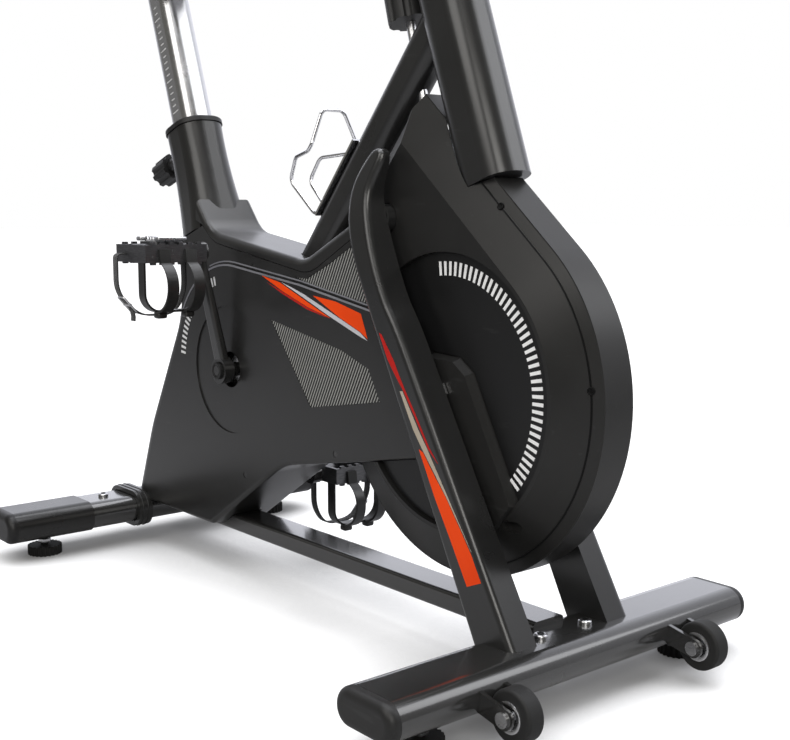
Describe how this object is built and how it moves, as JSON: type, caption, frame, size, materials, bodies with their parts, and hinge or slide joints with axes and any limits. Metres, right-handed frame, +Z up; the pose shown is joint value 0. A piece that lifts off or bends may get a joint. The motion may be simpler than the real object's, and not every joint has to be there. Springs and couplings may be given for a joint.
{
  "type": "exercise bike",
  "caption": "Upright indoor cycle with enclosed belt-driven flywheel, friction brake knob, clipped pedals, sliding seat and handlebar posts on a cross-foot base.",
  "frame": {"origin": "centre of the floor footprint, on the floor", "axes": "+X forward towards the flywheel, +Y to the rider's left, +Z up"},
  "size_m": [1.061, 0.568, 1.0464],
  "materials": {
    "frame_paint": "satin dark grey paint with fine texture",
    "sleeve_paint": "satin dark grey paint",
    "beam_paint": "satin grey paint",
    "cover_plastic": "fine textured charcoal plastic",
    "shroud_plastic": "fine textured charcoal plastic",
    "rim_plastic": "smooth charcoal plastic",
    "disc_plastic": "smooth black plastic",
    "grille_plastic": "ribbed black plastic",
    "black_plastic": "satin black plastic",
    "knob_plastic": "satin black plastic",
    "foot_rubber": "matt black rubber",
    "wheel_rubber": "matt black rubber",
    "grip_rubber": "matt black foam rubber",
    "belt_rubber": "ribbed black rubber",
    "bright_steel": "zinc plated",
    "black_steel": "black coated",
    "cage_chrome": "bright wire",
    "post_chrome": "brushed",
    "bar_paint": "satin black paint",
    "carriage_metal": "cast and brushed",
    "pedal_metal": "cast, dull grey",
    "toe_plastic": "satin black plastic",
    "strap_fabric": "woven black strap",
    "wheel_iron": "turned",
    "shoe_felt": "pressed felt on a block",
    "saddle_skin": "stitched black cover"
  },
  "bodies": {
    "frame": {"rear_stabiliser": "frame_paint", "front_stabiliser": "frame_paint", "seat_tube": "frame_paint", "top_tube": "frame_paint", "head_tube": "frame_paint", "down_tube": "frame_paint", "rear_stay": "frame_paint", "fork_leg_right": "frame_paint", "fork_leg_left": "frame_paint", "rear_stabiliser_sleeves": "sleeve_paint", "base_beam": "beam_paint", "upper_cover": "cover_plastic", "side_cover_right": "cover_plastic", "side_cover_left": "cover_plastic", "flywheel_cover_right": "shroud_plastic", "flywheel_cover_left": "shroud_plastic", "flywheel_rim_band": "rim_plastic", "cover_discs": "disc_plastic", "vent_grilles": "grille_plastic", "stabiliser_end_caps": "black_plastic", "post_sleeves": "black_plastic", "drive_belt": "belt_rubber", "base_bolts": "bright_steel", "axle_nuts": "bright_steel", "flywheel_axle": "bright_steel", "crank_bearings": "bright_steel", "cover_screws": "black_steel", "bottle_cage": "cage_chrome"},
    "flywheel": {"flywheel": "wheel_iron", "flywheel_pulley": "carriage_metal", "flywheel_bearings": "bright_steel"},
    "cranks": {"crank_spindle": "bright_steel", "drive_pulley": "carriage_metal", "crank_right": "black_steel", "crank_left": "black_steel", "pedal_spindles": "bright_steel"},
    "pedal_right": {"pedal_body_right": "pedal_metal", "toe_cage_right": "toe_plastic", "toe_strap_right": "strap_fabric"},
    "pedal_left": {"pedal_body_left": "pedal_metal", "toe_cage_left": "toe_plastic", "toe_strap_left": "strap_fabric"},
    "seat_post": {"seat_post": "post_chrome"},
    "saddle": {"saddle_carriage": "carriage_metal", "saddle": "saddle_skin"},
    "saddle_knob": {"saddle_knob": "knob_plastic"},
    "seat_pin": {"seat_pin": "knob_plastic"},
    "handlebar": {"handlebar": "bar_paint", "handlebar_grips": "grip_rubber"},
    "handlebar_pin": {"handlebar_pin": "knob_plastic"},
    "brake_rod": {"brake_rod": "bright_steel"},
    "resistance_knob": {"resistance_knob": "knob_plastic"},
    "brake_shoe": {"brake_shoe": "shoe_felt"},
    "foot_rear_right": {"foot_rear_right": "foot_rubber"},
    "foot_rear_left": {"foot_rear_left": "foot_rubber"},
    "foot_front_right": {"foot_front_right": "foot_rubber"},
    "foot_front_left": {"foot_front_left": "foot_rubber"},
    "transport_wheel_right": {"transport_wheel_right": "wheel_rubber"},
    "transport_wheel_left": {"transport_wheel_left": "wheel_rubber"}
  },
  "joints": [
    {"name": "flywheel_spin", "type": "hinge", "parent": "frame", "child": "flywheel", "pos_m": [0.2785, 0, 0.329], "axis": [0, 1, 0], "continuous": true},
    {"name": "crank_spin", "type": "hinge", "parent": "frame", "child": "cranks", "pos_m": [-0.1795, 0, 0.308], "axis": [0, 1, 0], "continuous": true},
    {"name": "pedal_right_spin", "type": "hinge", "parent": "cranks", "child": "pedal_right", "pos_m": [-0.19727, -0.144, 0.47707], "axis": [0, 1, 0], "continuous": true},
    {"name": "pedal_left_spin", "type": "hinge", "parent": "cranks", "child": "pedal_left", "pos_m": [-0.16173, 0.144, 0.13893], "axis": [0, 1, 0], "continuous": true},
    {"name": "seat_height", "type": "slide", "parent": "frame", "child": "seat_post", "axis": [-0.3305, 0, 0.9438], "range_m": [-0.08, 0.07]},
    {"name": "saddle_fore_aft", "type": "slide", "parent": "seat_post", "child": "saddle", "axis": [1, 0, 0], "range_m": [-0.04, 0.04]},
    {"name": "saddle_knob_turn", "type": "hinge", "parent": "saddle", "child": "saddle_knob", "pos_m": [-0.3855, -0.03, 0.88307], "axis": [0, -1, 0], "range_deg": [0, 720]},
    {"name": "seat_pin_pull", "type": "slide", "parent": "frame", "child": "seat_pin", "axis": [-0.9438, 0, -0.3305], "range_m": [0, 0.01], "stiffness_N_per_m": 1500, "springref_m": -0.012},
    {"name": "handlebar_height", "type": "slide", "parent": "frame", "child": "handlebar", "axis": [-0.3371, 0, 0.9415], "range_m": [-0.08, 0.07]},
    {"name": "handlebar_pin_pull", "type": "slide", "parent": "frame", "child": "handlebar_pin", "axis": [0.9415, 0, 0.3371], "range_m": [0, 0.01], "stiffness_N_per_m": 1500, "springref_m": -0.012},
    {"name": "brake_push", "type": "slide", "parent": "frame", "child": "brake_rod", "axis": [0.2588, 0, -0.9659], "range_m": [0, 0.004], "stiffness_N_per_m": 4000, "springref_m": -0.01},
    {"name": "resistance_turn", "type": "hinge", "parent": "brake_rod", "child": "resistance_knob", "pos_m": [0.15763, 0, 0.78009], "axis": [0.2588, 0, -0.9659], "range_deg": [0, 1080]},
    {"name": "brake_shoe_feed", "type": "slide", "parent": "brake_rod", "child": "brake_shoe", "axis": [0.2588, 0, -0.9659], "range_m": [0, 0.008]},
    {"name": "transport_wheel_right_spin", "type": "hinge", "parent": "frame", "child": "transport_wheel_right", "pos_m": [0.5025, -0.15, 0.045], "axis": [0, 1, 0], "continuous": true},
    {"name": "transport_wheel_left_spin", "type": "hinge", "parent": "frame", "child": "transport_wheel_left", "pos_m": [0.5025, 0.15, 0.045], "axis": [0, 1, 0], "continuous": true},
    {"name": "foot_rear_right_turn", "type": "hinge", "parent": "frame", "child": "foot_rear_right", "pos_m": [-0.4775, -0.21, 0.02], "axis": [0, 0, 1], "continuous": true},
    {"name": "foot_rear_left_turn", "type": "hinge", "parent": "frame", "child": "foot_rear_left", "pos_m": [-0.4775, 0.21, 0.02], "axis": [0, 0, 1], "continuous": true},
    {"name": "foot_front_right_turn", "type": "hinge", "parent": "frame", "child": "foot_front_right", "pos_m": [0.4255, -0.21, 0.02], "axis": [0, 0, 1], "continuous": true},
    {"name": "foot_front_left_turn", "type": "hinge", "parent": "frame", "child": "foot_front_left", "pos_m": [0.4255, 0.21, 0.02], "axis": [0, 0, 1], "continuous": true}
  ],
  "couplings": [
    {"joint": "crank_spin", "follows": "flywheel_spin", "ratio": 0.28571},
    {"joint": "brake_shoe_feed", "follows": "resistance_turn", "m_per_rad": 0.000424}
  ]
}
